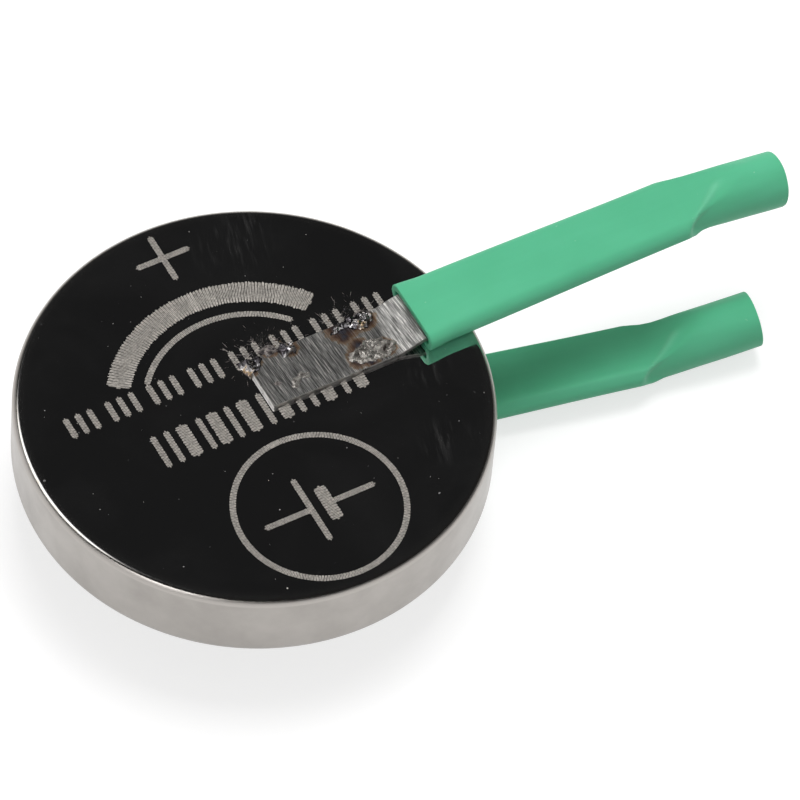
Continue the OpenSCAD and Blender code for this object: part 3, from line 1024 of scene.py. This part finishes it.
Crust = namedtuple("Crust", "outline height rough seed")
POSITIVE_LUMPS = [
    Crust([(-0.35, 1.65), (-0.3, 1.04), (-0.1, 0.75), (0.37, 0.75), (0.8, 1.2), (0.65, 1.6), (0.1, 1.75)],
          0.24, 1.2, 3),
    Crust([(1.65, 1.3), (1.8, 0.85), (2.35, 0.78), (2.6, 1.15), (2.3, 1.7), (1.9, 1.65)], 0.36, 0.6, 8),
    Crust([(4.45, 1.05), (4.6, 0.9), (5.2, 1.15), (5.7, 0.7), (6.2, 0.65), (6.65, 1.05), (6.4, 1.6),
           (5.8, 1.55), (5.0, 1.45)], 0.36, 0.45, 13)]
POSITIVE_SKIN = [
    Crust([(4.46, -0.7), (4.5, -0.42), (5.29, -0.23), (5.57, 0.02), (6.45, -0.22), (7.0, -0.75),
           (6.82, -1.0), (6.37, -1.24), (5.66, -1.26), (4.87, -1.12)], 0.22, 1.7, 21),
    Crust([(1.3, -0.9), (1.5, -0.5), (2.05, -0.24), (2.43, -0.45), (2.43, -0.75), (1.97, -0.6),
           (1.5, -1.05)], 0.12, 1.0, 34)]
POSITIVE_RESIDUE = [
    Crust([(0.85, 1.85), (1.1, 1.25), (1.75, 1.25), (1.75, 1.8), (1.35, 2.05)], 0.22, 1.3, 5),
    Crust([(5.9, 1.6), (6.3, 1.35), (6.75, 1.2), (6.8, 1.6), (6.3, 1.85)], 0.16, 1.2, 15),
    Crust([(0.56, -0.34), (0.87, -0.24), (1.0, -0.44), (0.71, -0.53)], 0.04, 0.8, 55)]
NEGATIVE_SKIN = [
    Crust([(0.8, -1.2), (0.9, -0.55), (1.5, -0.6), (1.6, -1.15)], 0.16, 1.0, 61),
    Crust([(1.1, 1.1), (1.0, 0.5), (1.8, 0.5), (1.8, 1.1)], 0.18, 1.0, 62),
    Crust([(3.2, -1.1), (3.3, -0.5), (4.0, -0.5), (4.0, -1.1)], 0.2, 1.0, 63),
    Crust([(3.5, 1.2), (3.5, 0.6), (4.3, 0.6), (4.3, 1.2)], 0.17, 1.0, 64)]
CRUST_GRID = 0.032
CRUST_MARGIN = 0.15
CRUST_RAGGED = 0.1
CRUST_BRIM = 0.03
CRUST_RISE = 0.14
CRUST_HANG = 0.12
CRUST_SUNK = 0.02
CRUST_LEAST = 0.012


def inside_depth(x, y, outline):
    """Distance to the outline, positive inside it."""
    least, inside = 1e9, False
    for (ax, ay), (bx, by) in zip(outline, outline[1:] + outline[:1]):
        dx, dy = bx - ax, by - ay
        share = min(max(((x - ax) * dx + (y - ay) * dy) / (dx * dx + dy * dy), 0), 1)
        least = min(least, math.hypot(x - ax - share * dx, y - ay - share * dy))
        if (ay > y) != (by > y) and x < ax + (y - ay) * dx / dy:
            inside = not inside
    return least if inside else -least


def crust_relief(x, y, depth, crust):
    """Height of a lump above what it lies on, at that depth inside its outline."""
    fold = noise.ridged_multi_fractal(Vector((1.5 * x, 1.5 * y, crust.seed)), 0.9, 2.2, 5, 1.0, 2.0)
    lump = noise.fractal(Vector((1.6 * x, 1.6 * y, crust.seed + 5)), 0.8, 2.0, 3)
    lip = 0.3 * math.exp(-((depth - 0.07) / 0.05) ** 2)
    relief = 0.5 + 0.6 * lump + crust.rough * 0.2 * (fold - 1.0) + lip
    return crust.height * ease(depth / CRUST_RISE) * max(relief, 0.12)


def crust_sheet(tag, crust):
    """Points and faces of one crumpled lump that lies over the strip or hangs over its edge."""
    xs, ys = zip(*crust.outline)
    columns = math.ceil((max(xs) - min(xs) + 2 * CRUST_MARGIN) / CRUST_GRID)
    rows = math.ceil((max(ys) - min(ys) + 2 * CRUST_MARGIN) / CRUST_GRID)
    upper, lower, points = {}, {}, []
    for i in range(columns + 1):
        for j in range(rows + 1):
            x = min(xs) - CRUST_MARGIN + i * CRUST_GRID
            y = min(ys) - CRUST_MARGIN + j * CRUST_GRID
            ragged = CRUST_RAGGED * noise.fractal(Vector((3.1 * x, 3.1 * y, crust.seed)), 0.8, 2.1, 3)
            depth = inside_depth(x, y, crust.outline) + ragged
            if depth < -CRUST_BRIM:
                continue
            off = max(abs(y) - STRIP_W / 2, -x, 0)
            top = strip_height(tag, tag.start + x) + STRIP_T / 2
            base = top * (1 - ease(off / CRUST_HANG))
            high = crust_relief(x, y, depth, crust)
            seat = top - CRUST_SUNK if off == 0 else 0.0
            upper[i, j] = len(points)
            points.append((x, y, max(base + max(high, CRUST_LEAST), seat + 0.004)))
            lower[i, j] = len(points)
            points.append((x, y, seat))
    faces = []
    used = set()
    for i, j in upper:
        corners = [(i, j), (i + 1, j), (i + 1, j + 1), (i, j + 1)]
        if all(c in upper for c in corners):
            used.add((i, j))
            faces.append(tuple(upper[c] for c in corners))
            faces.append(tuple(lower[c] for c in reversed(corners)))
    for i, j in used:
        sides = [((i, j - 1), (i, j), (i + 1, j)), ((i + 1, j), (i + 1, j), (i + 1, j + 1)),
                 ((i, j + 1), (i + 1, j + 1), (i, j + 1)), ((i - 1, j), (i, j + 1), (i, j))]
        for beyond, a, b in sides:
            if beyond not in used:
                faces.append((upper[b], upper[a], lower[a], lower[b]))
    start = tag.start
    return [tag.place @ Vector((start + x, y, z)) for x, y, z in points], faces


def make_crusts(name, tag, crusts, material):
    """All the lumps on one strip, as one piece."""
    points, faces = [], []
    for crust in crusts:
        more, quads = crust_sheet(tag, crust)
        faces += [tuple(k + len(points) for k in quad) for quad in quads]
        points += more
    mesh = mesh_of(name, points, faces)
    face_outwards(mesh)
    return placed(piece_of(mesh, material, 50), "tag_nickel")


# Where drops fly off the welds, as (along from the strip's start, across, height)
SPATTER_SPOTS = [(0.0, 1.5, 0.01), (0.6, 1.8, 0.01), (1.3, 2.0, 0.01), (2.2, 1.8, 0.01), (4.9, 1.5, 0.01),
                 (5.6, 1.7, 0.01), (6.4, 1.6, 0.01)]


def make_spatter(name, tag, group, values):
    """Drops thrown from the welds of a tag."""
    points = [tag.place @ Vector((tag.start + x, y, z)) for x, y, z in SPATTER_SPOTS]
    piece = grown(name, mesh_of(name + "_spots", points), group, values)
    shade(piece.data, 60)
    return placed(piece, "tag_nickel")


# Studio

CAMERA_AZIMUTH = -33.0
CAMERA_ELEVATION = 54.28
CAMERA_ROLL = 5.3
CAMERA_DISTANCE = 382.75
CAMERA_ASIDE = 7.144
CAMERA_RAISED = 3.26
CAMERA_LENS = 360.0
FLOOR_GAP = 0.02
FLOOR_HALF = 3000
FLOOR_GREY = 0.46
FLOOR_LIFT = 0.68
SKY_LIGHT = 0.46
DARK_CEILING = 0.011
DARK_SIDE = Vector((0.8, 0.6, 0.0))
DARK_SIDE_LEVEL = 0.14
WHITE = (1, 1, 1)

# A soft box that metal reflects: its direction, the cosines at which it starts and is full, its level
SoftBox = namedtuple("SoftBox", "toward fades full level")
SOFT_BOXES = [SoftBox(Vector((-0.28, 0.5, 0.82)), 0.945, 0.975, 1.7),
              SoftBox(Vector((-0.66, -0.3, 0.69)), 0.965, 0.982, 4.0)]


def make_camera():
    """The camera at the photograph's viewing angle."""
    data = bpy.data.cameras.new("camera")
    data.lens = CAMERA_LENS
    data.sensor_width = 36.0
    data.clip_start = 0.01
    data.clip_end = 20.0
    camera = new_object("camera", data)
    camera.matrix_world = (
        Matrix.Rotation(math.radians(CAMERA_AZIMUTH), 4, "Z")
        @ Matrix.Rotation(math.radians(90 - CAMERA_ELEVATION), 4, "X")
        @ Matrix.Rotation(math.radians(CAMERA_ROLL), 4, "Z")
        @ Matrix.Translation(Vector((CAMERA_ASIDE, CAMERA_RAISED, CAMERA_DISTANCE)) * MM))
    bpy.context.scene.camera = camera


def seen_share(tree):
    """1 for the camera's own rays and for those that a reflection or clear material sends on."""
    path = Node(tree, "ShaderNodeLightPath")
    return reduce(most, (path["Is Camera Ray"], path["Is Glossy Ray"], path["Is Transmission Ray"]))


def make_floor():
    """A pale floor that keeps the shadow of the part."""
    z = cad_box[0][2] / MM - FLOOR_GAP
    corners = [(x * FLOOR_HALF, y * FLOOR_HALF, z) for x, y in ((-1, -1), (1, -1), (1, 1), (-1, 1))]
    mesh = mesh_of("floor", corners, [(0, 1, 2, 3)])
    material = bpy.data.materials.new("floor")
    tree = emptied(material)
    pale = Node(tree, "ShaderNodeBsdfDiffuse", {"Color": (FLOOR_GREY, FLOOR_GREY, FLOOR_GREY)})[0]
    lift = Node(tree, "ShaderNodeEmission", {"Color": WHITE, "Strength": seen_share(tree) * FLOOR_LIFT})[0]
    both = Node(tree, "ShaderNodeAddShader", {0: pale, 1: lift})[0]
    Node(tree, "ShaderNodeOutputMaterial", {"Surface": both})
    mesh.materials.append(material)
    new_object("floor", mesh)


def make_world():
    """Even soft light; the camera sees white, and reflections see it too, under a dark ceiling."""
    world = bpy.data.worlds.new("studio")
    tree = emptied(world)
    toward = Node(tree, "ShaderNodeTexCoord")["Generated"]
    height = Node(tree, "ShaderNodeSeparateXYZ", {"Vector": toward})["Z"]
    ceiling = ramp(height, (0, 1), (0.26, 1), (0.6, 0), smooth=True)
    beyond = vector("DOT_PRODUCT", toward, DARK_SIDE.normalized()) * 0.5 + 0.5
    dimmed = ramp(beyond, (0.4, 1), (0.75, DARK_SIDE_LEVEL), smooth=True)
    mirror = most(ceiling * dimmed, DARK_CEILING)
    for box in SOFT_BOXES:
        facing = vector("DOT_PRODUCT", toward, box.toward.normalized())
        mirror = most(mirror, ramp(facing, (box.fades, 0), (box.full, 1), smooth=True) * box.level)
    path = Node(tree, "ShaderNodeLightPath")
    mirrored = most(path["Is Glossy Ray"], path["Is Transmission Ray"])
    level = mirrored * (mirror - 1) + 1
    light = Node(tree, "ShaderNodeBackground", {"Color": WHITE, "Strength": SKY_LIGHT})[0]
    shown = Node(tree, "ShaderNodeBackground", {"Color": WHITE, "Strength": level})[0]
    both = Node(tree, "ShaderNodeMixShader", {0: seen_share(tree), 1: light, 2: shown})[0]
    Node(tree, "ShaderNodeOutputWorld", {"Surface": both})
    bpy.context.scene.world = world


def make_lamp(name, place, size, power):
    """A soft square lamp that looks at the part."""
    data = bpy.data.lights.new(name, "AREA")
    data.shape = "SQUARE"
    data.size = size * MM
    data.energy = power
    lamp = new_object(name, data)
    lamp.location = Vector(place) * MM
    lamp.rotation_euler = (-Vector(place)).to_track_quat("-Z", "Y").to_euler()
    lamp.visible_glossy = False


bpy.context.scene.view_settings.view_transform = "Standard"
make_camera()
make_world()
make_floor()
make_lamp("key", place=(50, 60, 250), size=130, power=0.42)

turned = turned_group()
make_can(turned, satin_wall(), polished_face(), bright_corner())
make_cap(turned, cap_steel())
make_marks(hatch_group())

skin = crumpled_skin()
molten = molten_metal()
burnt = burnt_residue()
sheared = cut_edge()
metal = strip_metal("positive strip metal", POSITIVE, POSITIVE_WELDS)
placed(make_strip("positive_strip", POSITIVE, metal, sheared), "tag_nickel", "positive_tag")
metal = strip_metal("negative strip metal", NEGATIVE, NEGATIVE_WELDS)
placed(make_strip("negative_strip", NEGATIVE, metal, sheared), "tag_nickel", "negative_tag")
make_crusts("positive_weld_lumps", POSITIVE, POSITIVE_LUMPS, molten)
make_crusts("positive_weld_skin", POSITIVE, POSITIVE_SKIN, skin)
make_crusts("positive_weld_residue", POSITIVE, POSITIVE_RESIDUE, burnt)
make_crusts("negative_weld_skin", NEGATIVE, NEGATIVE_SKIN, skin)
spatter = spatter_group()
needles = {"Drops": 80, "Reach": 1.5 * MM, "Size": 0.014 * MM, "Stretch": 16.0, "Seed": 4, "Finish": burnt}
make_spatter("spatter_needles", POSITIVE, spatter, needles)
drops = {"Drops": 16, "Reach": 1.0 * MM, "Size": 0.045 * MM, "Stretch": 0.8, "Seed": 9, "Finish": molten}
make_spatter("spatter_drops", POSITIVE, spatter, drops)

plastic = sleeve_plastic("green sleeve, upper", POSITIVE)
placed(make_sleeve("positive_sleeve_tube", POSITIVE, plastic), "sleeve_green", "positive_sleeve")
plastic = sleeve_plastic("green sleeve, lower", NEGATIVE)
placed(make_sleeve("negative_sleeve_tube", NEGATIVE, plastic), "sleeve_green", "negative_sleeve")

for node, make_material in (("gasket", gasket_plastic), ("cathode_pellet", pressed_powder),
                            ("collector_ring", cap_steel), ("separator", felt),
                            ("lithium_anode", soft_metal)):
    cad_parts[node].material_slots[0].material = make_material()
